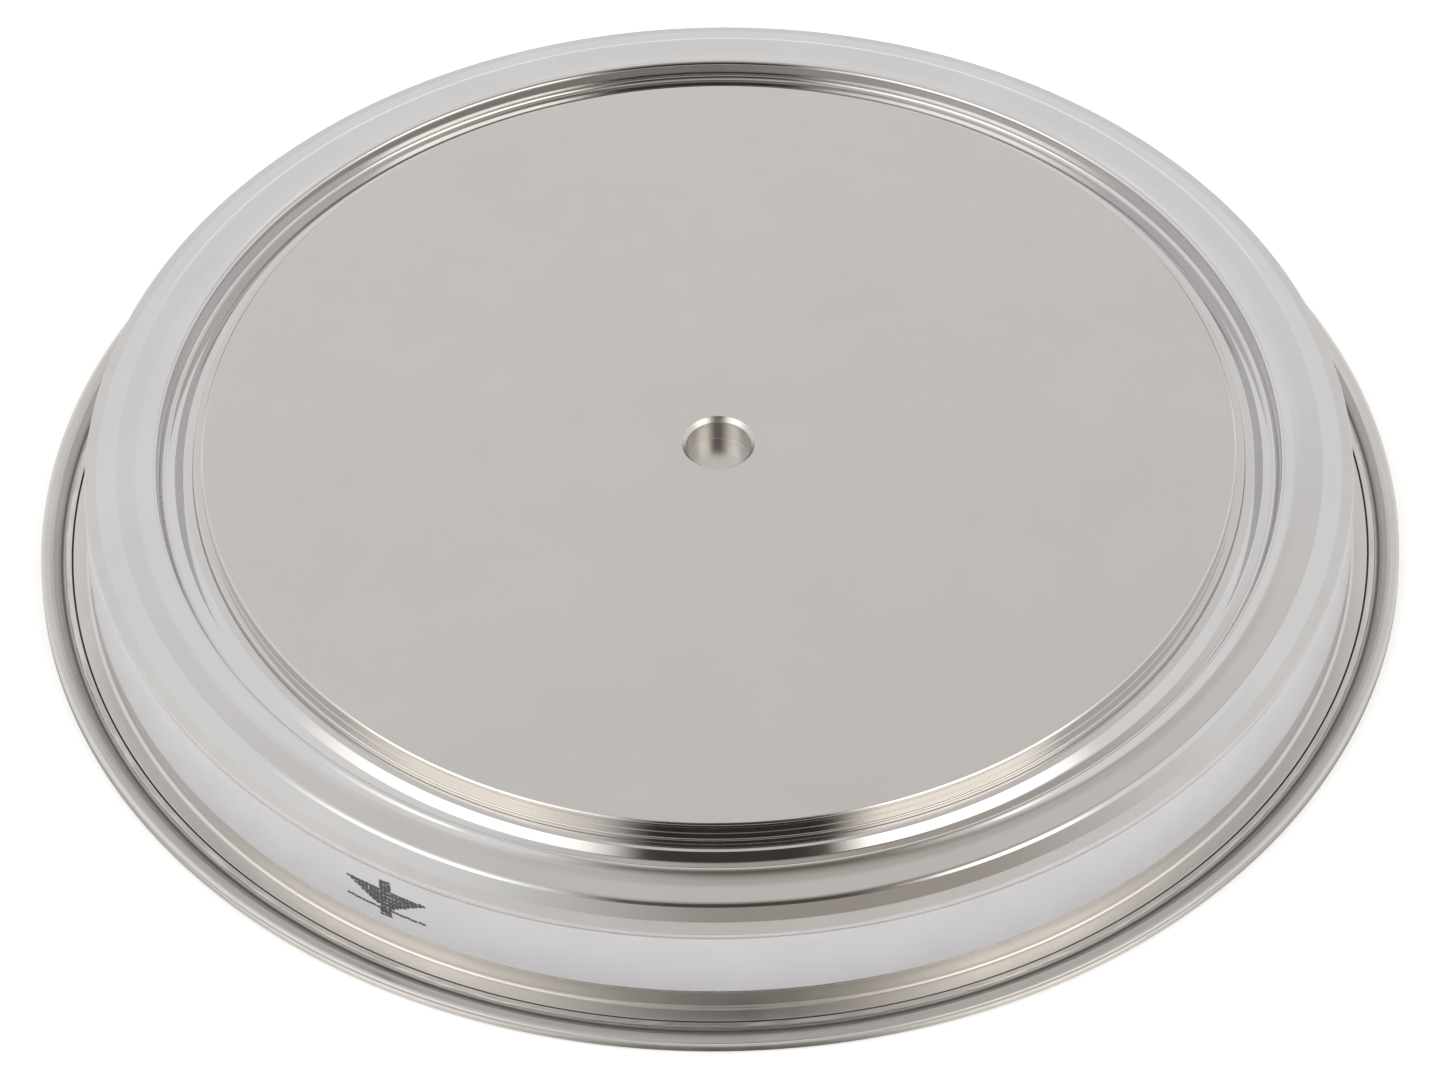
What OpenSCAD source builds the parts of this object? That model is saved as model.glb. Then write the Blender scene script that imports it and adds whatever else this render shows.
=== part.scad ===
// Press-pack rectifier diode: a flat ceramic capsule that is clamped between two
// busbars or cooling plates. The anode faces up, the cathode faces down.
// The origin is the centre of the lower contact face, with +Z through the capsule.
// Every outline below is a half section, [radius, height], turned about the Z axis.

/* [Contact poles] */
// Diameter of the flat contact face on each copper pole
contact_d = 57; // [40:0.5:80]
// Thickness of a pole, from its contact face to its face on the stack
pole_h = 2.7; // [2.4:0.1:6]
// Chamfer round the contact face
contact_chamfer = 0.1; // [0.05:0.01:0.2]
// Depth of the collar below the contact face
collar_drop = 0.73; // [0.5:0.01:0.85]
// Width of the collar
collar_w = 0.48; // [0.3:0.01:0.7]
// Radius on the collar's edge
collar_edge = 0.1; // [0.05:0.01:0.15]
// Width of the shoulder under the collar, that the flange is brazed to
shoulder_w = 0.45; // [0.4:0.05:1]
// Reach of the pole's stack face beyond the disc that it presses on
stack_face_margin = 0.6; // [0.3:0.05:1.2]
// Clearance under the flange's groove, down to the step round that face
groove_clearance = 0.12; // [0.1:0.01:0.3]
// Chamfer round the face on the stack
stack_chamfer = 0.15; // [0.1:0.01:0.3]

/* [Centring holes] */
// Diameter of the blind centring hole in each contact face
centring_d = 3.6; // [3:0.1:4.5]
// Depth of the centring hole
centring_depth = 1.5; // [1:0.1:2]
// Chamfer at its mouth
centring_chamfer = 0.25; // [0.1:0.05:0.4]

/* [Flange sheets] */
// Thickness of the formed flange sheets
sheet_t = 0.25; // [0.2:0.01:0.26]
// Thickness of the brazing foil in every brazed joint
braze_t = 0.1; // [0.05:0.01:0.15]
// Gap between a flange sheet and the collar inside it
pole_gap = 0.05; // [0.03:0.01:0.08]
// Depth of the brazed ledge below the contact face
ledge_drop = 1.12; // [0.95:0.01:1.2]
// Outside radius of the bend at the ledge's edge
ledge_bend = 0.3; // [0.3:0.01:0.4]
// Radial run of the groove's inner wall
groove_in_run = 0.4; // [0.3:0.01:0.5]
// Depth of the groove below the ledge, at the foot of that wall
groove_depth = 0.33; // [0.3:0.01:0.45]
// Width of the groove's floor
groove_floor_w = 0.75; // [0.65:0.05:1.6]
// Fall of the floor towards its outer wall
floor_fall = 0.18; // [0.1:0.01:0.25]
// Inside radius of the bends in the groove's floor
floor_bend = 0.3; // [0.1:0.01:0.35]
// Radial run of the groove's outer wall
groove_out_run = 0.26; // [0.24:0.01:0.6]
// Height of the lip above the foot of that wall
lip_rise = 1.13; // [0.95:0.01:1.2]
// Outside radius of the bend at the lip
lip_bend = 0.3; // [0.3:0.01:0.34]
// Radial run of the slope behind the lip
bead_run = 0.65; // [0.6:0.05:1]
// Fall of that slope
bead_fall = 0.38; // [0.2:0.01:0.42]
// Inside radius of the bend at its foot
bead_bend = 0.9; // [0.5:0.1:1.1]
// Width of the flat membrane outside the slope
membrane_w = 1.74; // [1.2:0.01:5]
// Fall of the membrane across its width
membrane_fall = 0.05; // [0.02:0.01:0.1]
// Radius of the bend at the membrane's outer edge
membrane_bend = 0.38; // [0.3:0.01:0.44]

/* [Anode flange rim] */
// Radial run of the step outside the membrane
step_run = 0.18; // [0.15:0.01:0.3]
// Fall of that step
step_fall = 0.25; // [0.2:0.01:0.3]
// Inside radius of the bend at the foot of the step
step_bend = 0.12; // [0.05:0.01:0.2]
// Width of the sloping land outside the step
land_w = 0.78; // [0.5:0.01:1.5]
// Fall of that land
land_fall = 0.155; // [0.1:0.005:0.2]
// Radial run of the skirt's slope
skirt_run = 0.66; // [0.5:0.01:0.8]
// Fall of the skirt's slope before it turns straight down
skirt_fall = 0.265; // [0.2:0.005:0.3]
// Straight height of the skirt above the ceramic
skirt_wall_h = 0.26; // [0.24:0.01:0.4]
// Outside radius of the bends in the skirt
skirt_bend = 0.3; // [0.3:0.01:0.34]

/* [Ceramic ring] */
// Radial wall of the ceramic ring
ceramic_wall = 3.5; // [2.5:0.1:5]
// Chamfer on its edges
ceramic_chamfer = 0.08; // [0.04:0.01:0.1]

/* [Seal ring and cold weld] */
// Thickness of the seal ring's sheet
ring_t = 0.22; // [0.2:0.01:0.25]
// Step in from the ceramic's outer face to the ring's wall
ring_inset = 0.05; // [0.02:0.01:0.1]
// Height of the ring's wall above its flat
ring_wall_h = 1.21; // [0.9:0.01:2]
// Radius of the hollow corner between wall and flat
ring_corner = 0.25; // [0.15:0.01:0.3]
// Gap under the weld flange above the lower contact plane
flange_lift = 0.1; // [0.05:0.01:0.15]
// Thickness of the flange sheet where the weld tool flattened it
coined_t = 0.22; // [0.18:0.01:0.24]
// Width of the flat between the wall and the weld groove
weld_flat_w = 0.95; // [0.8:0.05:1.5]
// Depth of the weld groove below the flat
weld_groove_depth = 0.14; // [0.1:0.01:0.16]
// Dip of the seam under the weld groove
seam_dip = 0.07; // [0.05:0.01:0.08]
// Radial run of the weld groove's steep inner wall
weld_in_run = 0.06; // [0.04:0.01:0.1]
// Width of the weld groove's floor
weld_floor_w = 0.4; // [0.3:0.02:0.6]
// Radial run of the slope up to the rim
weld_out_run = 0.34; // [0.3:0.01:0.5]
// Height of the rim above the flat
rim_rise = 0.22; // [0.15:0.01:0.25]
// Width of the rim outside that slope
rim_w = 1; // [0.8:0.05:1.5]
// Width of the rounded part of the rim's top
rim_round_w = 0.4; // [0.3:0.05:0.5]
// Radius on the rim's outer corners
rim_corner = 0.08; // [0.04:0.01:0.09]
// Radial run of the slope from the membrane down to the weld flange
foot_run = 0.6; // [0.5:0.01:0.65]
// Outside radius of the bend at that slope's foot
foot_bend = 0.36; // [0.3:0.01:0.4]

/* [Stack] */
// Step in from the contact face's edge to the silicon wafer's edge
wafer_inset = 1.7; // [1.2:0.1:3]
// Thickness of the wafer
wafer_h = 0.4; // [0.25:0.05:0.6]
// Radial run of the bevel ground on the wafer's edge
wafer_bevel = 0.5; // [0.3:0.05:0.6]
// Height of the straight edge left under the bevel
wafer_edge_h = 0.1; // [0.05:0.01:0.2]
// Step in from the wafer's edge to the molybdenum disc on the anode side
anode_disc_inset = 1.5; // [1.2:0.1:3]
// Thickness of that disc
anode_disc_h = 1; // [0.8:0.1:2]
// Step in from the wafer's edge to the molybdenum disc on the cathode side
cathode_disc_inset = 1; // [0.9:0.05:1.2]
// Thickness of that disc
cathode_disc_h = 1.2; // [1:0.1:2.4]
// Chamfer on the edges of both discs
disc_chamfer = 0.1; // [0.05:0.01:0.2]

/* [Edge rubber and locating ring] */
// Gap between the discs and the rubber moulded on the wafer's edge
rubber_gap = 0.15; // [0.1:0.01:0.2]
// Width of the rubber outside the wafer
rubber_w = 0.9; // [0.6:0.05:1.2]
// Thickness of the rubber above and below the wafer
rubber_lap = 0.35; // [0.2:0.05:0.6]
// Running gap round the locating ring
locating_gap = 0.12; // [0.08:0.01:0.15]
// Gap above the locating ring, below the anode pole's shoulder
locating_head_gap = 0.3; // [0.2:0.05:0.5]

/* [Hidden] */

// Sides of a full turn, and steps along each bend
turn_sides = 180;
bend_steps = 6;

// Finishes
nickel = [0.80, 0.78, 0.75];
nickel_sheet = [0.74, 0.72, 0.68];
alumina = [0.94, 0.93, 0.94];
silver_braze = [0.83, 0.81, 0.76];
molybdenum = [0.47, 0.49, 0.52];
silicon = [0.27, 0.28, 0.34];
silicone_rubber = [0.93, 0.93, 0.90];
fluoropolymer = [0.97, 0.97, 0.95];

// Levels of the stack, up from the lower contact face
cathode_disc_z = pole_h;
wafer_z = cathode_disc_z + cathode_disc_h;
anode_disc_z = wafer_z + wafer_h;
anode_pole_z = anode_disc_z + anode_disc_h;
overall_h = anode_pole_z + pole_h;

// Radii outwards along a flange sheet, alike on both sides
boss_r = contact_d / 2 + contact_chamfer;
collar_r = boss_r + collar_w;
sheet_bore_r = collar_r + pole_gap;
shoulder_r = collar_r + shoulder_w;
ledge_turn = atan2(groove_depth, groove_in_run);
ledge_end_r = shoulder_r + pole_gap + ledge_bend * tan(ledge_turn / 2);
floor_in_r = ledge_end_r + groove_in_run;
floor_out_r = floor_in_r + groove_floor_w;
lip_r = floor_out_r + groove_out_run;
bead_r = lip_r + bead_run;
membrane_r = bead_r + membrane_w;

// Radii of the anode flange's rim and of the ceramic under it
land_r = membrane_r + step_run;
crease_r = land_r + land_w;
ceramic_r = crease_r + skirt_run;
ceramic_bore_r = ceramic_r - ceramic_wall;

// Radii outwards along the seal ring and the cold weld
ring_r = ceramic_r - ring_inset;
foot_r = membrane_r + foot_run;
weld_in_r = ring_r + weld_flat_w;
weld_floor_r = weld_in_r + weld_in_run;
weld_out_r = weld_floor_r + weld_floor_w;
rim_in_r = weld_out_r + weld_out_run;
rim_r = rim_in_r + rim_w;

// Radii of the stack, inwards and outwards from the wafer's edge
wafer_r = contact_d / 2 - wafer_inset;
anode_disc_r = wafer_r - anode_disc_inset;
cathode_disc_r = wafer_r - cathode_disc_inset;
stack_face_r = cathode_disc_r + stack_face_margin;
rubber_in_r = max(anode_disc_r, cathode_disc_r) + rubber_gap;
rubber_out_r = wafer_r + rubber_w;

// Depths below the contact face on each side, down into the capsule
floor_in_depth = ledge_drop + groove_depth;
floor_out_depth = floor_in_depth + floor_fall;
lip_depth = floor_out_depth - lip_rise;
bead_depth = lip_depth + bead_fall;
membrane_depth = bead_depth + membrane_fall;
land_depth = membrane_depth + step_fall;
crease_depth = land_depth + land_fall;
skirt_turn_depth = crease_depth + skirt_fall;
skirt_edge_depth = skirt_turn_depth + skirt_wall_h;
shoulder_depth = ledge_drop + sheet_t + braze_t;
stack_step_depth = floor_out_depth + sheet_t + groove_clearance;

// Levels of the weld flange, up from the lower contact face
seam_z = flange_lift + coined_t;
ring_flat_z = seam_z + ring_t;
ring_top_z = ring_flat_z + ring_wall_h;
weld_floor_z = ring_flat_z - weld_groove_depth;
rim_seam_z = seam_z + rim_rise;
rim_top_z = ring_flat_z + rim_rise;
rim_base_z = rim_seam_z - sheet_t;

// Levels of the ceramic ring
ceramic_base_z = ring_top_z + braze_t;
ceramic_top_z = overall_h - skirt_edge_depth - braze_t;

// Unit vector along v, and v turned a quarter turn to the left
function unit(v) = v / norm(v);
function left(v) = [-v[1], v[0]];

// Direction of the path's stretch that leaves point i
function heading(path, i) =
    unit([path[i + 1][0] - path[i][0], path[i + 1][1] - path[i][1]]);

// Directions into and out of point i, equal at the path's two ends
function heading_in(path, i) = heading(path, max(i - 1, 0));
function heading_out(path, i) = heading(path, min(i, len(path) - 2));

// Vector v turned by the angle t
function turned_by(v, t) = [v[0] * cos(t) - v[1] * sin(t), v[0] * sin(t) + v[1] * cos(t)];

// The bend of radius p[2] that rounds the corner p between headings a and b
function bend(p, a, b) =
    let (
        side = sign(cross(a, b)),
        angle = acos(min(a * b, 1)),
        start = [p[0], p[1]] - a * p[2] * tan(angle / 2),
        centre = start + left(a) * side * p[2]
    )
    side == 0 || p[2] <= 0
        ? [[p[0], p[1]]]
        : [for (k = [0:bend_steps]) centre + turned_by(start - centre, side * angle * k / bend_steps)];

// A path of [radius, height, bend radius] with all its corners rounded
function rounded(path) =
    [for (i = [0:len(path) - 1]) each bend(path[i], heading_in(path, i), heading_out(path, i))];

// The same path moved to its left by d, each bend keeping its centre
function offset_path(path, d) =
    [for (i = [0:len(path) - 1])
        let (
            a = heading_in(path, i),
            b = heading_out(path, i),
            shift = d * (left(a) + left(b)) / (1 + a * b)
        )
        [path[i][0] + shift[0], path[i][1] + shift[1], path[i][2] - sign(cross(a, b)) * d]
    ];

// Outline between two faces that both run outwards. Faces that end in one shared
// point give it once.
function between(face, back) =
    let (shared = face[len(face) - 1] == back[len(back) - 1] ? 1 : 0)
    concat(face, [for (i = [len(back) - 1 - shared:-1:0]) back[i]]);

// Outer face of a flange sheet from the pole to the membrane, as [radius, depth, bend]
groove_face = [
    [sheet_bore_r, ledge_drop, 0],
    [ledge_end_r, ledge_drop, ledge_bend],
    [floor_in_r, floor_in_depth, floor_bend],
    [floor_out_r, floor_out_depth, floor_bend],
    [lip_r, lip_depth, lip_bend],
    [bead_r, bead_depth, bead_bend],
    [membrane_r, membrane_depth, membrane_bend]
];

// The anode flange's outer face goes on to the skirt, whose edge is on the ceramic
anode_face = concat(groove_face, [
    [land_r, land_depth, step_bend],
    [crease_r, crease_depth, skirt_bend],
    [ceramic_r, skirt_turn_depth, skirt_bend],
    [ceramic_r, skirt_edge_depth, 0]
]);

// The cathode flange's outer face goes on to the weld flange and its rim
cathode_face = concat(groove_face, [
    [foot_r, flange_lift, foot_bend],
    [weld_out_r, flange_lift, 0],
    [rim_in_r, rim_base_z, 0],
    [rim_r, rim_base_z, rim_corner],
    [rim_r, rim_seam_z, 0]
]);

// Seam between the seal ring and the cathode flange, outwards to the rim
weld_seam = [
    [weld_in_r, seam_z, 0],
    [weld_floor_r, seam_z - seam_dip, 0],
    [weld_out_r, seam_z - seam_dip, 0],
    [rim_in_r, rim_seam_z, 0],
    [rim_r, rim_seam_z, 0]
];

// The cathode flange's inner face: the sheet's own thickness down to the foot of the
// slope, then the seam, where the weld tool has thinned it
cathode_offset = offset_path(cathode_face, sheet_t);
cathode_back = concat(
    [for (i = [0:len(groove_face) - 1]) cathode_offset[i]],
    [[cathode_offset[len(groove_face)][0], seam_z, foot_bend - coined_t]],
    weld_seam
);

// The seal ring's outer face: wall, hollow corner, flat, weld groove and rim
ring_face = [
    [ring_r, ring_top_z, 0],
    [ring_r, ring_flat_z, ring_corner],
    [weld_in_r, ring_flat_z, 0],
    [weld_floor_r, weld_floor_z, 0],
    [weld_out_r, weld_floor_z, 0],
    [rim_in_r, rim_top_z, 0],
    [rim_r - rim_round_w, rim_top_z, rim_round_w],
    [rim_r, (rim_top_z + rim_seam_z) / 2, rim_corner],
    [rim_r, rim_seam_z, 0]
];

// The seal ring's inner face, down its wall and out along the seam
ring_back = concat(
    [
        [ring_r - ring_t, ring_top_z, 0],
        [ring_r - ring_t, seam_z, ring_corner + ring_t]
    ],
    weld_seam
);

// A solid turned from its half section
module turned(outline) {
    rotate_extrude($fn = turn_sides) polygon(outline);
}

// Places what is drawn by depth below a contact face at the upper, anode side
module anode_side() {
    translate([0, 0, overall_h]) mirror([0, 0, 1]) children();
}

// Flat ring between two radii, of thickness t, standing on height z
module washer(inner_r, outer_r, z, t) {
    translate([0, 0, z])
        difference() {
            cylinder(r = outer_r, h = t, $fn = turn_sides);
            translate([0, 0, -t]) cylinder(r = inner_r, h = 3 * t, $fn = turn_sides);
        }
}

// Disc of radius r and height h on height z, with both edges chamfered
module chamfered_disc(r, z, h, chamfer) {
    turned([
        [0, z],
        [r - chamfer, z],
        [r, z + chamfer],
        [r, z + h - chamfer],
        [r - chamfer, z + h],
        [0, z + h]
    ]);
}

// Copper pole with its contact face at z = 0 and its stack face at z = pole_h
module pole() {
    centring_r = centring_d / 2;
    difference() {
        turned(rounded([
            [0, 0, 0],
            [contact_d / 2, 0, 0],
            [boss_r, contact_chamfer, 0],
            [boss_r, collar_drop, 0],
            [collar_r, collar_drop, collar_edge],
            [collar_r, shoulder_depth, 0],
            [shoulder_r, shoulder_depth, 0],
            [shoulder_r, stack_step_depth, 0],
            [stack_face_r, stack_step_depth, 0],
            [stack_face_r, pole_h - stack_chamfer, 0],
            [stack_face_r - stack_chamfer, pole_h, 0],
            [0, pole_h, 0]
        ]));
        translate([0, 0, -centring_depth])
            cylinder(r = centring_r, h = 2 * centring_depth, $fn = turn_sides);
        translate([0, 0, -centring_chamfer])
            cylinder(
                r1 = centring_r + 2 * centring_chamfer,
                r2 = centring_r,
                h = 2 * centring_chamfer,
                $fn = turn_sides
            );
    }
}

// Brazing foil between a pole's shoulder and the ledge of its flange
module flange_braze() {
    washer(sheet_bore_r, shoulder_r, ledge_drop + sheet_t, braze_t);
}

// Lower pole, the cathode contact
module cathode_pole() {
    color(nickel) pole();
}

// Upper pole, the anode contact
module anode_pole() {
    color(nickel) anode_side() pole();
}

module cathode_flange_braze() {
    color(silver_braze) flange_braze();
}

module anode_flange_braze() {
    color(silver_braze) anode_side() flange_braze();
}

// Upper sheet: one pressing from the pole, through the ring groove, to the skirt
module anode_flange() {
    color(nickel_sheet)
        anode_side()
            turned(between(rounded(anode_face), rounded(offset_path(anode_face, sheet_t))));
}

// Lower sheet: the same groove, then down to the flange that is cold welded
module cathode_flange() {
    color(nickel_sheet) turned(between(rounded(cathode_face), rounded(cathode_back)));
}

// Ring of sheet under the ceramic, cold welded to the lower sheet
module seal_ring() {
    color(nickel_sheet) turned(between(rounded(ring_face), rounded(ring_back)));
}

// Brazing foil between the seal ring's wall and the ceramic
module ceramic_base_braze() {
    color(silver_braze) washer(ring_r - ring_t, ring_r, ring_top_z, braze_t);
}

// Brazing foil between the ceramic and the anode flange's skirt
module ceramic_top_braze() {
    color(silver_braze)
        washer(ceramic_r - sheet_t, ceramic_r - ceramic_chamfer, ceramic_top_z, braze_t);
}

// White alumina insulator
module ceramic_ring() {
    c = ceramic_chamfer;
    color(alumina)
        turned([
            [ceramic_bore_r + c, ceramic_base_z],
            [ceramic_r - c, ceramic_base_z],
            [ceramic_r, ceramic_base_z + c],
            [ceramic_r, ceramic_top_z - c],
            [ceramic_r - c, ceramic_top_z],
            [ceramic_bore_r + c, ceramic_top_z],
            [ceramic_bore_r, ceramic_top_z - c],
            [ceramic_bore_r, ceramic_base_z + c]
        ]);
}

// Molybdenum disc under the wafer
module cathode_disc() {
    color(molybdenum) chamfered_disc(cathode_disc_r, cathode_disc_z, cathode_disc_h, disc_chamfer);
}

// Molybdenum disc above the wafer
module anode_disc() {
    color(molybdenum) chamfered_disc(anode_disc_r, anode_disc_z, anode_disc_h, disc_chamfer);
}

// Silicon wafer with the bevel that spreads the field at its edge
module silicon_wafer() {
    color(silicon)
        turned([
            [0, wafer_z],
            [wafer_r, wafer_z],
            [wafer_r, wafer_z + wafer_edge_h],
            [wafer_r - wafer_bevel, anode_disc_z],
            [0, anode_disc_z]
        ]);
}

// Rubber moulded round the wafer's edge, above, below and outside it
module edge_rubber() {
    color(silicone_rubber)
        turned([
            [rubber_in_r, wafer_z - rubber_lap],
            [rubber_out_r, wafer_z - rubber_lap],
            [rubber_out_r, anode_disc_z + rubber_lap],
            [rubber_in_r, anode_disc_z + rubber_lap],
            [rubber_in_r, anode_disc_z],
            [wafer_r - wafer_bevel, anode_disc_z],
            [wafer_r, wafer_z + wafer_edge_h],
            [wafer_r, wafer_z],
            [rubber_in_r, wafer_z]
        ]);
}

// Ring that stands on the cathode pole's shoulder and keeps the stack on the axis
module locating_ring() {
    outer_r = ceramic_bore_r - locating_gap;
    step_z = wafer_z - rubber_lap - locating_gap;
    color(fluoropolymer)
        turned([
            [stack_face_r + locating_gap, stack_step_depth],
            [outer_r, stack_step_depth],
            [outer_r, overall_h - stack_step_depth - locating_head_gap],
            [rubber_out_r + locating_gap, overall_h - stack_step_depth - locating_head_gap],
            [rubber_out_r + locating_gap, step_z],
            [stack_face_r + locating_gap, step_z]
        ]);
}

cathode_pole();
cathode_flange();
cathode_flange_braze();
seal_ring();
ceramic_base_braze();
ceramic_ring();
ceramic_top_braze();
anode_flange();
anode_flange_braze();
anode_pole();
cathode_disc();
silicon_wafer();
anode_disc();
edge_rubber();
locating_ring();
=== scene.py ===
"""Looks of the press-pack rectifier diode: a flat ceramic capsule with two plated poles.

Every visible piece is turned about the Z axis, so each one is a surface of two
parameters: the length along its half section, and the angle round the axis. The
sizes are in millimetres, as a drawing gives them, and are turned into metres when
a mesh is made. The pieces stand exactly where the solids of the frame stand.
"""

import logging
import math
from dataclasses import dataclass
from enum import Enum

import bpy
import numpy as np
from mathutils import Matrix, Vector


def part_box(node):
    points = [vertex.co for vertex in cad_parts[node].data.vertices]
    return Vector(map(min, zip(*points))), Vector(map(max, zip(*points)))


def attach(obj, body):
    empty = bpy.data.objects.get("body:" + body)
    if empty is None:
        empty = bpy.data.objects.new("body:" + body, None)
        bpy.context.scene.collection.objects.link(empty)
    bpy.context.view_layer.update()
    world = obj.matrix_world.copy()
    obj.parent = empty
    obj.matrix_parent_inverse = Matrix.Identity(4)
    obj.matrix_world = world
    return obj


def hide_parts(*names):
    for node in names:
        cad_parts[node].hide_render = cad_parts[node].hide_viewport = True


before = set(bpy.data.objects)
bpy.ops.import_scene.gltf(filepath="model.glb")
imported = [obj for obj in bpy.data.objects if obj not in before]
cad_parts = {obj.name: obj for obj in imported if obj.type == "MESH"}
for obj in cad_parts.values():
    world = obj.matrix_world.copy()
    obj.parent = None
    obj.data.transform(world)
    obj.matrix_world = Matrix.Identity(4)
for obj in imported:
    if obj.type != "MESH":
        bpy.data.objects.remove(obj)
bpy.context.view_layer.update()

log = logging.getLogger("capsule")
logging.basicConfig(level=logging.INFO, format="%(name)s: %(message)s")

MM = 0.001
BODY = "root"
ON_AXIS = 1e-6
NOISE_ENDS = (0.3, 0.7)
BORDER_HALF = 0.03
WHITE = (1.0, 1.0, 1.0)

Array = np.ndarray
Colour = tuple[float, float, float]
Ends = tuple[float, float]
Piece = bpy.types.Object
Material = bpy.types.Material
Socket = bpy.types.NodeSocket
Node = bpy.types.Node
Inputs = dict[str | int, Socket | float | tuple[float, ...]]


class Side(Enum):
    """The capsule's two sides. The value says which way depth runs in height."""

    CATHODE = 1
    ANODE = -1


# Profiles: half sections as paths with rounded corners


def left_of(vectors: Array) -> Array:
    """Vectors turned a quarter turn to the left: (x, y) becomes (-y, x)."""
    return np.stack([-vectors[:, 1], vectors[:, 0]], axis=1)


def headings(path: Array) -> tuple[Array, Array]:
    """Unit directions into and out of each corner of a path.

    Args:
        path: corners as rows of [radius, height, bend radius].

    Returns:
        Directions into and out of each corner, equal at the path's two ends.
    """
    steps = np.diff(path[:, :2], axis=0)
    steps /= np.linalg.norm(steps, axis=1)[:, None]
    return np.vstack([steps[:1], steps]), np.vstack([steps, steps[-1:]])


def rounded(path: Array, steps: int = 10) -> Array:
    """Rounds every corner of a path by its bend radius.

    A corner of radius R that turns by the angle t starts its arc R tan(t/2) before
    the corner, and the arc's centre lies R to the side of that start. The arc's
    points are the start turned about the centre by equal shares of t.

    Args:
        path: corners as rows of [radius, height, bend radius].
        steps: stretches along each arc.

    Returns:
        Points as rows of [radius, height].
    """
    before, after = headings(path)
    turn = before[:, 0] * after[:, 1] - before[:, 1] * after[:, 0]
    side = np.sign(turn)
    angle = np.arccos(np.clip((before * after).sum(axis=1), -1.0, 1.0))
    bend = path[:, 2]
    start = path[:, :2] - before * (bend * np.tan(angle / 2))[:, None]
    centre = start + left_of(before) * (side * bend)[:, None]
    share = (side * angle)[:, None] * np.linspace(0.0, 1.0, steps + 1)[None, :]
    arm = start - centre
    along = arm[:, 0, None] * np.cos(share) - arm[:, 1, None] * np.sin(share)
    across = arm[:, 0, None] * np.sin(share) + arm[:, 1, None] * np.cos(share)
    points = np.stack([along + centre[:, 0, None], across + centre[:, 1, None]], axis=2)
    return without_doubles(points.reshape(-1, 2))


def without_doubles(points: Array, gap: float = 1e-5) -> Array:
    """Drops each point that lies closer than the gap to the one before it."""
    step = np.linalg.norm(np.diff(points, axis=0), axis=1)
    return points[np.concatenate([[True], step > gap])]


def offset_path(path: Array, distance: float) -> Array:
    """Moves a path to its left by a distance, each bend keeping its centre.

    A corner moves along the sum of its two left normals, divided by one plus the
    cosine of its turn, and its bend radius shrinks on a left turn and grows on a
    right turn.

    Args:
        path: corners as rows of [radius, height, bend radius].
        distance: how far the path moves, in millimetres.

    Returns:
        The moved corners, in the same form.
    """
    before, after = headings(path)
    turn = np.sign(before[:, 0] * after[:, 1] - before[:, 1] * after[:, 0])
    cosine = (before * after).sum(axis=1)
    shift = distance * (left_of(before) + left_of(after)) / (1 + cosine)[:, None]
    moved = path[:, :2] + shift
    return np.column_stack([moved, path[:, 2] - turn * distance])


def refined(points: Array, near: float, step: float) -> Array:
    """Adds points on the straight stretches of a profile, so that its flats stay flat.

    The profile is read as a function of the length along it. Long stretches get a
    point a little inside each end, and points at equal steps between.

    Args:
        points: rows of [radius, height].
        near: distance of the inner point from the end of a stretch.
        step: greatest distance between points.

    Returns:
        The same profile with more points.
    """
    length = np.concatenate([[0.0], np.cumsum(np.linalg.norm(np.diff(points, axis=0), axis=1))])
    long_stretch = np.diff(length) > 3 * near
    guards = np.concatenate([length[:-1][long_stretch] + near, length[1:][long_stretch] - near])
    evenly = np.arange(step, length[-1], step)
    clear = np.abs(evenly[:, None] - np.concatenate([length, guards])[None, :]).min(axis=1) > near
    stations = np.sort(np.concatenate([length, guards, evenly[clear]]))
    return np.stack([np.interp(stations, length, points[:, k]) for k in (0, 1)], axis=1)


def summed(stretches: Array) -> Array:
    """Corners from the steps between them: radius and depth add up, the bend doesn't."""
    return np.column_stack([np.cumsum(stretches[:, :2], axis=0), stretches[:, 2]])


def sheet_section(face: Array, back: Array, near: float, step: float) -> Array:
    """Joins a sheet's face and its back into one closed section.

    Args:
        face: points of the outer face, running outwards.
        back: points of the inner face, running outwards too.
        near: distance of a stretch's inner points from its ends.
        step: greatest distance between points.

    Returns:
        Rows of [radius, height], without the first again at the end.
    """
    section = without_doubles(np.vstack([face, back[::-1]]))
    return refined(np.vstack([section, section[:1]]), near, step)[:-1]


# Surfaces: a profile carried round the axis, with fine relief


@dataclass(frozen=True)
class Relief:
    """Fine unevenness of a turned surface, as a height along its normal.

    The height is smooth random noise on the surface's own grid of length along the
    section and angle round the axis, times a bell curve of the distance from the
    place on the section where it sits.

    Attributes:
        centre: radius and height of its middle on the section, in millimetres.
        reach: width of the bell curve.
        height: size of the bumps.
        grain: length of a bump round the axis.
        seed: seed of the random draw.
    """

    centre: tuple[float, float]
    reach: float
    height: float
    grain: float
    seed: int

    def heights(self, outline: Array, segments: int) -> Array:
        """Height at each point of the grid of outline points and angles.

        Args:
            outline: rows of [radius, height].
            segments: steps round the axis.

        Returns:
            An array of len(outline) rows and `segments` columns.
        """
        distance = np.linalg.norm(outline - np.array(self.centre), axis=1)
        bell = np.exp(-0.5 * (distance / self.reach) ** 2)
        white = np.random.default_rng(self.seed).standard_normal((len(outline), segments))
        smooth = blurred_round(white, self.grain / (2 * math.pi * self.centre[0]) * segments)
        return self.height * bell[:, None] * smooth


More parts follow.
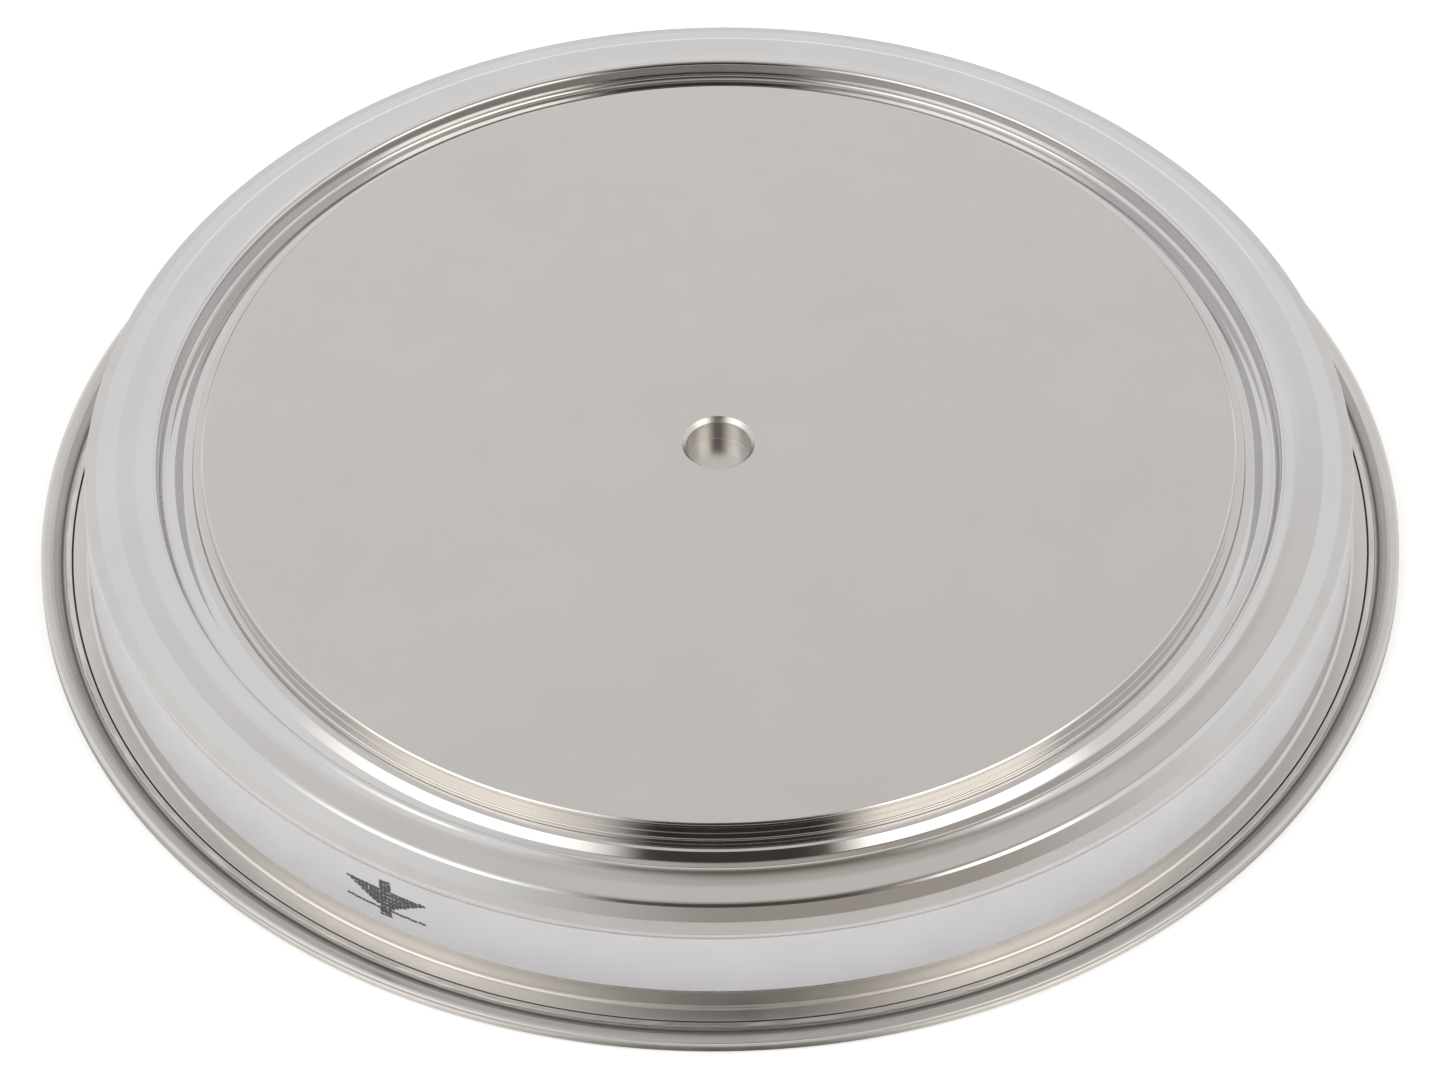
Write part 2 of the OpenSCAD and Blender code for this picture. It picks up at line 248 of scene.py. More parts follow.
def blurred_round(noise: Array, cells: float) -> Array:
    """Smooths noise round the axis, and brings it back to unit spread.

    The rows are periodic, so each is filtered by its Fourier series: the term of
    frequency f is multiplied by exp(-(pi f cells)^2).

    Args:
        noise: rows of white noise.
        cells: width of the smoothing, in steps round the axis.

    Returns:
        The smoothed rows.
    """
    frequency = np.fft.rfftfreq(noise.shape[1])
    spectrum = np.fft.rfft(noise, axis=1) * np.exp(-((math.pi * frequency * cells) ** 2))
    smooth = np.fft.irfft(spectrum, n=noise.shape[1], axis=1)
    return smooth / smooth.std()


def section_normals(outline: Array, closed: bool) -> Array:
    """Unit normals to the right of a section's direction of travel.

    At a point, travel is the step from its neighbour before to its neighbour after,
    and (x, y) turned a quarter turn to the right is (y, -x).

    Args:
        outline: section as rows of [radius, height].
        closed: whether the last point leads on to the first.

    Returns:
        A unit vector for each point, as rows of [radius, height].
    """
    if closed:
        travel = np.roll(outline, -1, axis=0) - np.roll(outline, 1, axis=0)
    else:
        travel = np.gradient(outline, axis=0)
    normal = np.stack([travel[:, 1], -travel[:, 0]], axis=1)
    return normal / np.linalg.norm(normal, axis=1)[:, None]


def turned(name: str, outline: Array, segments: int, reliefs: tuple[Relief, ...] = ()) -> Piece:
    """Turns a half section about the Z axis into a closed mesh.

    The point at length s and angle u is (r(s) cos u, r(s) sin u, z(s)), where r and z
    are the section's radius and height, moved along the section's normal by the
    relief. A section whose two ends are on the axis closes in a fan at each.

    Args:
        name: name of the object.
        outline: section as rows of [radius, height] in millimetres, anticlockwise.
        segments: steps round the axis.
        reliefs: fine unevenness to add.

    Returns:
        The new object, linked to the scene, at the origin.
    """
    on_axis = abs(outline[0, 0]) < ON_AXIS
    body = outline[1:-1] if on_axis else outline
    normal = section_normals(outline, closed=not on_axis)
    normal = normal[1:-1] if on_axis else normal
    even = np.zeros((len(body), segments))
    height = sum((relief.heights(body, segments) for relief in reliefs), even)
    angle = np.linspace(0.0, 2 * math.pi, segments, endpoint=False)
    radius = body[:, 0, None] + height * normal[:, 0, None]
    level = body[:, 1, None] + height * normal[:, 1, None]
    grid = np.stack([radius * np.cos(angle), radius * np.sin(angle), level], axis=2) * MM
    vertices = grid.reshape(-1, 3)

    rows = len(body)
    index = np.arange(rows * segments).reshape(rows, segments)
    index = index if on_axis else np.vstack([index, index[:1]])
    beside = np.roll(index, -1, axis=1)
    quads = np.stack([index[:-1], beside[:-1], beside[1:], index[1:]], axis=2).reshape(-1, 4)
    faces = quads.tolist()
    if on_axis:
        ends = np.array([[0.0, 0.0, outline[0, 1]], [0.0, 0.0, outline[-1, 1]]]) * MM
        first, last = len(vertices), len(vertices) + 1
        vertices = np.vstack([vertices, ends])
        pole = np.full(segments, first)
        tip = np.full(segments, last)
        faces += np.stack([beside[0], index[0], pole], axis=1).tolist()
        faces += np.stack([index[-1], beside[-1], tip], axis=1).tolist()
    return mesh_object(name, vertices, faces)


def mesh_object(name: str, vertices: Array, faces: list[list[int]]) -> Piece:
    """Makes a smooth-shaded object at the origin from points in metres and faces.

    Args:
        name: name of the object and of its mesh.
        vertices: rows of [x, y, z] in metres.
        faces: the points of each face, anticlockwise as seen from outside.

    Returns:
        The new object, linked to the scene.
    """
    mesh = bpy.data.meshes.new(name)
    mesh.from_pydata(vertices, [], faces)
    mesh.update()
    mesh.shade_smooth()
    piece = bpy.data.objects.new(name, mesh)
    bpy.context.scene.collection.objects.link(piece)
    return piece


# Finishes: one small class for each real material


@dataclass(frozen=True)
class ShadeRing:
    """A ring of painted shade: the metal's tone is darkened where shade falls, in a crevice or
    under an edge.

    Attributes:
        radius: radius of the ring's middle on the section, in millimetres.
        level: height of its middle.
        reach: distance from the middle at which it has faded out.
        share: part of the tone that the painted shade takes away in its middle.
    """

    radius: float
    level: float
    reach: float
    share: float


class NodeBench:
    """Lays out the nodes of one material or world."""

    def __init__(self, owner: Material | bpy.types.World) -> None:
        """Starts with an empty node tree.

        Args:
            owner: the material or world that the nodes belong to.
        """
        owner.use_nodes = True
        self.tree = owner.node_tree
        self.tree.nodes.clear()

    def add(self, kind: str, inputs: Inputs | None = None, operation: str = "") -> Node:
        """Adds a node, and sets or joins its inputs.

        Args:
            kind: the node's type.
            inputs: a value or another node's socket for each input, by name or by place.
            operation: what the node works out, where it has a choice.

        Returns:
            The new node.
        """
        node = self.tree.nodes.new(kind)
        if operation:
            node.operation = operation
        for key, value in (inputs or {}).items():
            if isinstance(value, Socket):
                self.tree.links.new(value, node.inputs[key])
            else:
                node.inputs[key].default_value = value
        return node

    def mapped(self, value: Socket, source: Ends, target: Ends, ease: str = "LINEAR") -> Socket:
        """Maps a value from one range to another, and holds it at the ends.

        Args:
            value: what is mapped.
            source: the range that it comes from.
            target: the range that it goes to.
            ease: how it runs between the ends.

        Returns:
            The mapped value's socket.
        """
        node = self.add("ShaderNodeMapRange", {
            "Value": value,
            "From Min": source[0], "From Max": source[1],
            "To Min": target[0], "To Max": target[1],
        })
        node.interpolation_type = ease
        return node.outputs["Result"]

    def seen_directly(self) -> Socket:
        """One for rays from the camera, mirror rays and rays through glass, else zero.

        Returns:
            The socket of that value.
        """
        rays = self.add("ShaderNodeLightPath").outputs
        total = rays["Is Camera Ray"]
        for name in ("Is Glossy Ray", "Is Transmission Ray"):
            total = self.add("ShaderNodeMath", {0: total, 1: rays[name]}, "MAXIMUM").outputs[0]
        return total


class SurfaceBench(NodeBench):
    """Lays out a surface whose tone, gloss and grain follow the object's own coordinates."""

    def __init__(self, name: str) -> None:
        """Starts an empty material.

        Args:
            name: name of the material.
        """
        self.material = bpy.data.materials.new(name)
        super().__init__(self.material)
        self.place = self.add("ShaderNodeTexCoord").outputs["Object"]

    def noise(self, size: float, detail: float) -> Socket:
        """Noise from 0 to 1 with patches of a size in millimetres.

        Args:
            size: width of a patch.
            detail: octaves of finer noise.

        Returns:
            The noise's value socket.
        """
        inputs = {"Vector": self.place, "Scale": 1.0 / (size * MM), "Detail": detail}
        return self.add("ShaderNodeTexNoise", inputs).outputs["Fac"]

    def tones(self, value: Socket, dark: Colour, light: Colour) -> Socket:
        """Colours noise from one tone to another.

        Args:
            value: socket of the noise, from 0 to 1.
            dark: the tone at the noise's low end.
            light: the tone at its high end.

        Returns:
            The socket of the colour.
        """
        ramp = self.add("ShaderNodeValToRGB", {"Fac": value})
        for element, end, tone in zip(ramp.color_ramp.elements, NOISE_ENDS, (dark, light)):
            element.position = end
            element.color = (*tone, 1.0)
        return ramp.outputs["Color"]

    def distance_from_axis(self) -> Socket:
        """Distance of each point from the axis, in metres."""
        flat = self.add("ShaderNodeVectorMath", {0: self.place, 1: (1.0, 1.0, 0.0)}, "MULTIPLY")
        return self.add("ShaderNodeVectorMath", {0: flat.outputs[0]}, "LENGTH").outputs["Value"]

    def with_painted_shade(self, tone: Socket, shade_ring: ShadeRing) -> Socket:
        """Darkens a tone round one ring, as painted shade.

        The share that stays rises from the ring's middle to one at its reach, by the distance on
        the section between [radius, height] and the middle.

        Args:
            tone: the colour to darken.
            shade_ring: the ring of painted shade.

        Returns:
            The socket of the darkened colour.
        """
        # Painted shade: the tone is scaled down near the ring's middle on the section.
        level = self.add("ShaderNodeSeparateXYZ", {0: self.place}).outputs["Z"]
        section = self.add("ShaderNodeCombineXYZ", {"X": self.distance_from_axis(), "Y": level})
        middle = (shade_ring.radius * MM, shade_ring.level * MM, 0.0)
        gap = self.add("ShaderNodeVectorMath", {0: section.outputs[0], 1: middle}, "DISTANCE")
        reach, share = (0.0, shade_ring.reach * MM), (1.0 - shade_ring.share, 1.0)
        stays = self.mapped(gap.outputs["Value"], reach, share, "SMOOTHSTEP")
        darker = self.add("ShaderNodeVectorMath", {0: tone, "Scale": stays}, "SCALE")
        return darker.outputs["Vector"]

    def across(self, radius: float, inner: Socket, outer: Socket) -> Socket:
        """One value inside a radius round the axis, and another outside it.

        Args:
            radius: where the two meet, in millimetres.
            inner: the value inside.
            outer: the value outside.

        Returns:
            The socket of the value at each point.
        """
        border = ((radius - BORDER_HALF) * MM, (radius + BORDER_HALF) * MM)
        share = self.mapped(self.distance_from_axis(), border, (0.0, 1.0))
        mix = self.add("ShaderNodeMix", {"Factor": share, "A": inner, "B": outer})
        return mix.outputs["Result"]

    def finished(
        self, tone: Socket, rough: Socket, grain: Socket, depth: float, metallic: float = 0.0
    ) -> Material:
        """Puts a tone, a roughness and a grain on a shader, and the shader on the surface.

        Args:
            tone: the colour's socket.
            rough: the roughness's socket.
            grain: the socket of the grain's height, from 0 to 1.
            depth: height of the grain, in millimetres.
            metallic: one on bare metal.

        Returns:
            The finished material.
        """
        bump = self.add("ShaderNodeBump", {"Distance": depth * MM, "Height": grain})
        shader = self.add("ShaderNodeBsdfPrincipled", {
            "Base Color": tone, "Metallic": metallic, "Roughness": rough,
            "Normal": bump.outputs["Normal"],
        })
        self.add("ShaderNodeOutputMaterial", {"Surface": shader.outputs["BSDF"]})
        return self.material


@dataclass(frozen=True)
class PlatedMetal:
    """Nickel plate, or another bare metal: tone, gloss and the fine grain of its surface.

    Attributes:
        name: name of the material.
        dark: the darker of its two tones.
        light: the lighter of its two tones.
        gloss: least and greatest roughness.
        grain: width of a grain, in millimetres.
        depth: height of the grain, in millimetres.
        border_r: radius from which the outer gloss holds; none where it is zero.
        outer_gloss: least and greatest roughness outside that radius.
        shade_rings: rings of painted shade, in which its tone is darker.
        mottle: width of a patch of tone.
        patch: width of a patch of gloss.
    """

    name: str
    dark: Colour
    light: Colour
    gloss: Ends
    grain: float
    depth: float
    border_r: float = 0.0
    outer_gloss: Ends = (0.0, 0.0)
    shade_rings: tuple[ShadeRing, ...] = ()
    mottle: float = 6.0
    patch: float = 1.4

    def material(self) -> Material:
        """Builds the material: mottled tone with rings of painted shade, uneven gloss and a fine
        grain.

        Returns:
            The new material.
        """
        bench = SurfaceBench(self.name)
        tone = bench.tones(bench.noise(self.mottle, detail=3.0), self.dark, self.light)
        # Painted shade: each ring darkens the tone where shade falls in a hollow.
        for shade_ring in self.shade_rings:
            tone = bench.with_painted_shade(tone, shade_ring)
        patches = bench.noise(self.patch, detail=4.0)
        rough = bench.mapped(patches, NOISE_ENDS, self.gloss)
        if self.border_r > 0.0:
            outer = bench.mapped(patches, NOISE_ENDS, self.outer_gloss)
            rough = bench.across(self.border_r, rough, outer)
        grain = bench.noise(self.grain, detail=2.0)
        return bench.finished(tone, rough, grain, self.depth, metallic=1.0)


@dataclass(frozen=True)
class Alumina:
    """White sintered alumina with a semi-gloss skin.

    Attributes:
        name: name of the material.
        dark: the darker of its two tones.
        light: the lighter of its two tones.
        gloss: least and greatest roughness.
        cloud: width of a patch of tone, in millimetres.
        patch: width of a patch of gloss.
        peel: width of a bump of the skin.
        depth: height of the bumps.
    """

    name: str = "alumina"
    dark: Colour = (0.795, 0.785, 0.835)
    light: Colour = (0.835, 0.825, 0.875)
    gloss: Ends = (0.28, 0.40)
    cloud: float = 3.0
    patch: float = 0.8
    peel: float = 0.25
    depth: float = 0.003

    def material(self) -> Material:
        """Builds the material: faint clouds, a soft gloss and a fine orange peel.

        Returns:
            The new material.
        """
        bench = SurfaceBench(self.name)
        tone = bench.tones(bench.noise(self.cloud, detail=3.0), self.dark, self.light)
        rough = bench.mapped(bench.noise(self.patch, detail=3.0), NOISE_ENDS, self.gloss)
        return bench.finished(tone, rough, bench.noise(self.peel, detail=3.0), self.depth)


@dataclass(frozen=True)
class Compound:
    """A matt moulded or turned compound: printing ink, rubber or fluoropolymer."""

    name: str
    dark: Colour
    light: Colour
    gloss: Ends
    grain: float

    def material(self) -> Material:
        """Builds the material: two near tones, uneven gloss and a grain.

        Returns:
            The new material.
        """
        bench = SurfaceBench(self.name)
        tone = bench.tones(bench.noise(self.grain * 6, detail=3.0), self.dark, self.light)
        rough = bench.mapped(bench.noise(self.grain * 2, detail=2.0), NOISE_ENDS, self.gloss)
        return bench.finished(tone, rough, bench.noise(self.grain, detail=2.0), self.grain / 20)


Finish = PlatedMetal | Alumina | Compound

NICKEL_FACE = PlatedMetal(
    "nickel_face", (0.588, 0.568, 0.553), (0.604, 0.584, 0.569), (0.26, 0.34), 0.05, 0.0005,
    border_r=28.53, outer_gloss=(0.06, 0.10),
)
NICKEL_SHEET = PlatedMetal(
    "nickel_sheet", (0.602, 0.592, 0.588), (0.628, 0.617, 0.613), (0.08, 0.12), 0.09, 0.0002,
    border_r=34.45, outer_gloss=(0.50, 0.58),
)
NICKEL_RING_PAINTED_SHADE = PlatedMetal(
    "nickel_ring_painted_shade", (0.628, 0.608, 0.588), (0.658, 0.638, 0.618), (0.31, 0.35), 0.09, 0.0003,
    # Painted shade: these rings darken the tone in the weld crack, the trench, the seam's mouth,
    # the rim's outer wall and the lower sheet's edge by the floor.
    shade_rings=(
        ShadeRing(36.05, 0.44, 0.12, 0.85),
        ShadeRing(36.66, 0.38, 0.25, 0.82),
        ShadeRing(37.68, 0.36, 0.12, 0.85),
        ShadeRing(37.84, 0.60, 0.16, 0.45),
        ShadeRing(37.78, 0.20, 0.22, 0.50),
    ),
)
SILVER_BRAZE = PlatedMetal(
    "silver_braze", (0.60, 0.57, 0.52), (0.66, 0.63, 0.58), (0.22, 0.34), 0.08, 0.002
)
MOLYBDENUM = PlatedMetal(
    "molybdenum", (0.34, 0.35, 0.37), (0.40, 0.41, 0.43), (0.30, 0.42), 0.06, 0.001
)
SILICON = PlatedMetal("silicon", (0.20, 0.21, 0.26), (0.25, 0.26, 0.31), (0.08, 0.14), 0.20, 0.0004)
ALUMINA = Alumina()
PRINT_INK = Compound("print_ink", (0.085, 0.082, 0.090), (0.13, 0.125, 0.135), (0.5, 0.65), 0.06)
SILICONE_RUBBER = Compound(
    "silicone_rubber", (0.78, 0.78, 0.74), (0.84, 0.84, 0.80), (0.5, 0.65), 0.12
)
FLUOROPOLYMER = Compound("fluoropolymer", (0.84, 0.84, 0.82), (0.90, 0.90, 0.88), (0.35, 0.5), 0.15)


# Sub-assemblies


def placed(section: Array, side: Side, top: float) -> Array:
    """Puts a section given by depth at its side of the capsule, anticlockwise.

    Args:
        section: rows of [radius, depth].
        side: the side that the depth is measured on.
        top: height of the capsule.

    Returns:
        Rows of [radius, height], running anticlockwise.
    """
    level = section[:, 1] if side is Side.CATHODE else top - section[:, 1]
    outline = np.stack([section[:, 0], level], axis=1)
    following = np.roll(outline, -1, axis=0)
    area = (outline[:, 0] * following[:, 1] - following[:, 0] * outline[:, 1]).sum() / 2
    return outline if area > 0 else outline[::-1]


def dress(piece: Piece, finish: Finish, slot: str, *nodes: str) -> None:
    """Gives a piece its finish and its body, and hides the nodes that it stands for.

    Args:
        piece: the object.
        finish: what it is made of.
        slot: not used.
        nodes: nodes of the frame that it replaces.
    """
    piece.data.materials.append(finish.material())
    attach(piece, BODY)
    if nodes:
        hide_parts(*nodes)
    log.info("%s: %d faces", piece.name, len(piece.data.polygons))


@dataclass
class Pole:
    """One copper pole: contact face with its centring hole, shoulder and stack face."""

    side: Side
    contact_r: float = 28.5
    contact_chamfer: float = 0.1
    collar_drop: float = 0.73
    collar_w: float = 0.48
    collar_edge: float = 0.1
    shoulder_w: float = 0.45
    shoulder_depth: float = 1.47
    stack_step_depth: float = 2.0
    stack_face_r: float = 26.4
    stack_chamfer: float = 0.15
    thickness: float = 2.7
    hole_r: float = 1.8
    hole_depth: float = 1.5
    hole_chamfer: float = 0.25
    edge_bend: float = 0.05
    segments: int = 384

    def section(self) -> Array:
        """Half section by depth below the contact face, from the hole's floor outwards.

        Returns:
            Rows of [radius, depth], from the axis to the axis.
        """
        boss_r = self.contact_r + self.contact_chamfer
        collar_r = boss_r + self.collar_w
        shoulder_r = collar_r + self.shoulder_w
        corners = np.array([
            [0.0, self.hole_depth, 0.0],
            [self.hole_r, self.hole_depth, self.edge_bend],
            [self.hole_r, self.hole_chamfer, self.edge_bend],
            [self.hole_r + self.hole_chamfer, 0.0, self.edge_bend],
            [self.contact_r, 0.0, self.edge_bend],
            [boss_r, self.contact_chamfer, self.edge_bend],
            [boss_r, self.collar_drop, self.edge_bend],
            [collar_r, self.collar_drop, self.collar_edge],
            [collar_r, self.shoulder_depth, 0.0],
            [shoulder_r, self.shoulder_depth, self.edge_bend],
            [shoulder_r, self.stack_step_depth, self.edge_bend],
            [self.stack_face_r, self.stack_step_depth, 0.0],
            [self.stack_face_r, self.thickness - self.stack_chamfer, self.edge_bend],
            [self.stack_face_r - self.stack_chamfer, self.thickness, self.edge_bend],
            [0.0, self.thickness, 0.0],
        ])
        return refined(rounded(corners, steps=6), near=0.04, step=1.5)

    def build(self, top: float) -> None:
        """Makes and dresses the pole of a capsule of the height `top`.

        Args:
            top: height of the capsule, in millimetres; not used on the cathode side.
        """
        name = f"{self.side.name.lower()}_pole"
        piece = turned(f"{name}_plated", placed(self.section(), self.side, top), self.segments)
        dress(piece, NICKEL_FACE, "nickel_plate", name)


@dataclass
class FlangeSheets:
    """The formed flange sheets: the whole upper one, and the groove that both share.

    Runs lead outwards and falls lead into the capsule, each from the corner before.
    """

    bore_r: float = 29.085
    sheet_t: float = 0.25
    ledge_run: float = 0.515
    ledge_drop: float = 1.07
    ledge_fall: float = 0.01
    ledge_bend: float = 0.06
    groove_in_run: float = 0.488
    groove_depth: float = 0.37
    groove_floor_w: float = 0.75
    floor_fall: float = 0.18
    floor_bend: float = 0.3
    groove_out_run: float = 0.28
    lip_rise: float = 1.13
    lip_bend: float = 0.22
    bead_run: float = 0.57
    bead_fall: float = 0.33
    bead_bend: float = 1.0
    dish_run: float = 0.56
    dish_fall: float = 0.07
    dish_bend: float = 3.0
    membrane_w: float = 1.17
    membrane_fall: float = 0.03
    membrane_bend: float = 0.3
    step_run: float = 0.22
    step_fall: float = 0.14
    step_bend: float = 0.15
    land_w: float = 0.81
    land_fall: float = 0.265
    skirt_run: float = 0.66
    skirt_fall: float = 0.265
    skirt_wall_h: float = 0.26
    crease_bend: float = 0.15
    skirt_bend: float = 0.12
    segments: int = 480

    def groove_face(self) -> Array:
        """Corners of the outer face from the pole to the membrane, alike on both sides.

        Each corner is the one before it moved by its own run outwards and fall inwards.

        Returns:
            Corners as rows of [radius, depth, bend radius].
        """
        stretches = np.array([
            [self.bore_r, self.ledge_drop, 0.0],
            [self.ledge_run, self.ledge_fall, self.ledge_bend],
            [self.groove_in_run, self.groove_depth, self.floor_bend],
            [self.groove_floor_w, self.floor_fall, self.floor_bend],
            [self.groove_out_run, -self.lip_rise, self.lip_bend],
            [self.bead_run, self.bead_fall, self.bead_bend],
            [self.dish_run, self.dish_fall, self.dish_bend],
            [self.membrane_w, self.membrane_fall, self.membrane_bend],
        ])
        return summed(stretches)

    def anode_face(self) -> Array:
        """Corners of the anode flange's outer face, on to the skirt's edge.

        Returns:
            Corners as rows of [radius, depth, bend radius].
        """
        end_r, end_depth = self.groove_face()[-1, :2]
        rim = summed(np.array([
            [end_r + self.step_run, end_depth + self.step_fall, self.step_bend],
            [self.land_w, self.land_fall, self.crease_bend],
            [self.skirt_run, self.skirt_fall, self.skirt_bend],
            [0.0, self.skirt_wall_h, 0.0],
        ]))
        return np.vstack([self.groove_face(), rim])

    @property
    def membrane_r(self) -> float:
        """Outer radius of the flat membrane."""
        return float(self.groove_face()[-1, 0])

    @property
    def ceramic_r(self) -> float:
        """Outer radius of the skirt and of the ceramic under it."""
        return float(self.anode_face()[-1, 0])

    def build_anode(self, top: float) -> None:
        """Makes and dresses the anode flange of a capsule of the height `top`.

        Args:
            top: height of the capsule, in millimetres.
        """
        face = self.anode_face()
        back = rounded(offset_path(face, self.sheet_t), steps=3)
        section = sheet_section(rounded(face, steps=8), back, near=0.05, step=0.7)
        piece = turned("anode_flange_plated", placed(section, Side.ANODE, top), self.segments)
        dress(piece, NICKEL_SHEET, "nickel_sheet", "anode_flange")


@dataclass
class WeldFlange:
    """The seal ring and the cathode flange, cold welded together at the rim."""

    sheets: FlangeSheets
    ring_t: float = 0.22
    ring_inset: float = 0.05
    ring_wall_h: float = 1.21
    ring_corner: float = 0.25
    flange_lift: float = 0.1
    coined_t: float = 0.22
    weld_flat_w: float = 0.95
    crack_w: float = 0.11
    crack_depth: float = 0.16
    ridge_w: float = 0.31
    ridge_reach: float = 0.06
    ridge_h: float = 0.012
    ridge_grain: float = 0.22
    trench_wall_run: float = 0.05
    trench_floor_w: float = 0.32
    trench_depth: float = 0.14
    seam_dip: float = 0.10
    rim_in_run: float = 0.33
    rim_in_rise: float = 0.16
    rim_shoulder_run: float = 0.20
    rim_shoulder_rise: float = 0.06
    rim_shoulder_bend: float = 0.3
    rim_top_w: float = 0.30
    rim_top_rise: float = 0.03
    rim_top_bend: float = 0.2
    rim_r: float = 37.808
    rim_edge_drop: float = 0.06
    rim_rise: float = 0.12
    rim_corner: float = 0.08
    seam_depth: float = 0.26
    seam_gap: float = 0.07
    edge_back: float = 0.20
    edge_h: float = 0.04
    edge_droop: float = 0.09
    foot_run: float = 0.6
    foot_bend: float = 0.36
    edge_bend: float = 0.03
    segments: int = 512
    seed: int = 11

    def __post_init__(self) -> None:
        """Works out the radii and levels that the two pieces share."""
        self.ring_r = self.sheets.ceramic_r - self.ring_inset
        self.weld_in_r = self.ring_r + self.weld_flat_w
        self.trench_in_r = self.weld_in_r + self.crack_w + self.ridge_w + self.trench_wall_run
        self.trench_out_r = self.trench_in_r + self.trench_floor_w
        self.rim_in_r = self.trench_out_r + self.rim_in_run
        self.seam_z = self.flange_lift + self.coined_t
        self.flat_z = self.seam_z + self.ring_t
        self.ring_top_z = self.flat_z + self.ring_wall_h
        self.rim_seam_z = self.seam_z + self.rim_rise

    def seam(self) -> Array:
        """Corners of the seam between the two sheets, outwards to the bottom of its mouth.

        Returns:
            Corners as rows of [radius, height, bend radius].
        """
        dip_z = self.seam_z - self.seam_dip
        return np.array([
            [self.weld_in_r, self.seam_z, 0.0],
            [self.trench_in_r, dip_z, 0.0],
            [self.trench_out_r, dip_z, 0.0],
            [self.rim_in_r + self.rim_shoulder_run, self.rim_seam_z, 0.0],
            [self.rim_r - self.seam_depth, self.rim_seam_z, 0.0],
        ])

    def build_ring(self) -> None:
        """Makes and dresses the seal ring, with the torn ridge that the weld tool left."""
        inner_r = self.ring_r - self.ring_t
        ridge_in_r = self.weld_in_r + self.crack_w
        ridge_out_r = ridge_in_r + self.ridge_w
        floor_z = self.flat_z - self.trench_depth
        rim_in_z = self.flat_z + self.rim_in_rise
        shoulder_r = self.rim_in_r + self.rim_shoulder_run
        shoulder_z = rim_in_z + self.rim_shoulder_rise
        top_z = shoulder_z + self.rim_top_rise
        face = np.array([
            [self.ring_r, self.ring_top_z, 0.0],
            [self.ring_r, self.flat_z, self.ring_corner],
            [self.weld_in_r, self.flat_z, self.edge_bend],
            [self.weld_in_r + self.crack_w / 2, self.flat_z - self.crack_depth, 0.0],
            [ridge_in_r, self.flat_z, self.edge_bend],
            [ridge_out_r, self.flat_z, 2 * self.edge_bend],
            [self.trench_in_r, floor_z, self.edge_bend],
            [self.trench_out_r, floor_z, self.edge_bend],
            [self.rim_in_r, rim_in_z, 2 * self.edge_bend],
            [shoulder_r, shoulder_z, self.rim_shoulder_bend],
            [shoulder_r + self.rim_top_w, top_z, self.rim_top_bend],
            [self.rim_r, top_z - self.rim_edge_drop, self.rim_corner],
            [self.rim_r, self.rim_seam_z + self.seam_gap, 0.0],
        ])
        back = np.vstack([[
            [inner_r, self.ring_top_z, 0.0],
            [inner_r, self.seam_z, self.ring_corner + self.ring_t],
        ], self.seam()])
        section = sheet_section(rounded(face), rounded(back, steps=4), near=0.02, step=0.3)
        ridge = Relief(
            (ridge_out_r, self.flat_z), self.ridge_reach, self.ridge_h, self.ridge_grain, self.seed
        )
        outline = placed(section, Side.CATHODE, 0.0)
        piece = turned("seal_ring_plated", outline, self.segments, (ridge,))
        dress(piece, NICKEL_RING_PAINTED_SHADE, "nickel_sheet", "seal_ring")

    def build_cathode_flange(self) -> None:
        """Makes and dresses the lower sheet, from the pole to the rim."""
        groove = self.sheets.groove_face()
        base_z = self.rim_seam_z - self.sheets.sheet_t
        foot_r = self.sheets.membrane_r + self.foot_run
        shoulder_r = self.rim_in_r + self.rim_shoulder_run
        face = np.vstack([groove, [
            [foot_r, self.flange_lift, self.foot_bend],
            [self.trench_out_r, self.flange_lift, self.edge_bend],
            [shoulder_r, base_z, self.edge_bend],
            [self.rim_r, base_z - self.edge_droop, self.edge_bend],
            [self.rim_r, base_z - self.edge_droop + self.edge_h, self.edge_bend],
            [self.rim_r - self.edge_back, self.rim_seam_z - 2 * self.seam_gap, self.edge_bend],
        ]])
        inner = offset_path(face, self.sheets.sheet_t)
        foot = [[inner[len(groove), 0], self.seam_z, self.foot_bend - self.coined_t]]
        back = np.vstack([inner[:len(groove)], foot, self.seam()])
        section = sheet_section(rounded(face), rounded(back, steps=4), near=0.04, step=0.4)
        outline = placed(section, Side.CATHODE, 0.0)
        piece = turned("cathode_flange_plated", outline, self.segments // 2)
        dress(piece, NICKEL_RING_PAINTED_SHADE, "nickel_sheet", "cathode_flange")


@dataclass
class Insulator:
    """The white ceramic ring between the skirt and the seal ring."""

    outer_r: float
    base_z: float
    top_z: float
    wall: float = 3.5
    edge_bend: float = 0.1
    segments: int = 384

    def build_ring(self) -> None:
        """Makes and dresses the ceramic ring."""
        inner_r = self.outer_r - self.wall
        middle_z = (self.base_z + self.top_z) / 2
        corners = np.array([
            [inner_r, middle_z, 0.0],
            [inner_r, self.base_z, self.edge_bend],
            [self.outer_r, self.base_z, self.edge_bend],
            [self.outer_r, self.top_z, self.edge_bend],
            [inner_r, self.top_z, self.edge_bend],
            [inner_r, middle_z, 0.0],
        ])
        section = refined(rounded(corners), near=0.05, step=0.5)[:-1]
        piece = turned("ceramic_ring_fired", section, self.segments)
        dress(piece, ALUMINA, "alumina", "ceramic_ring")


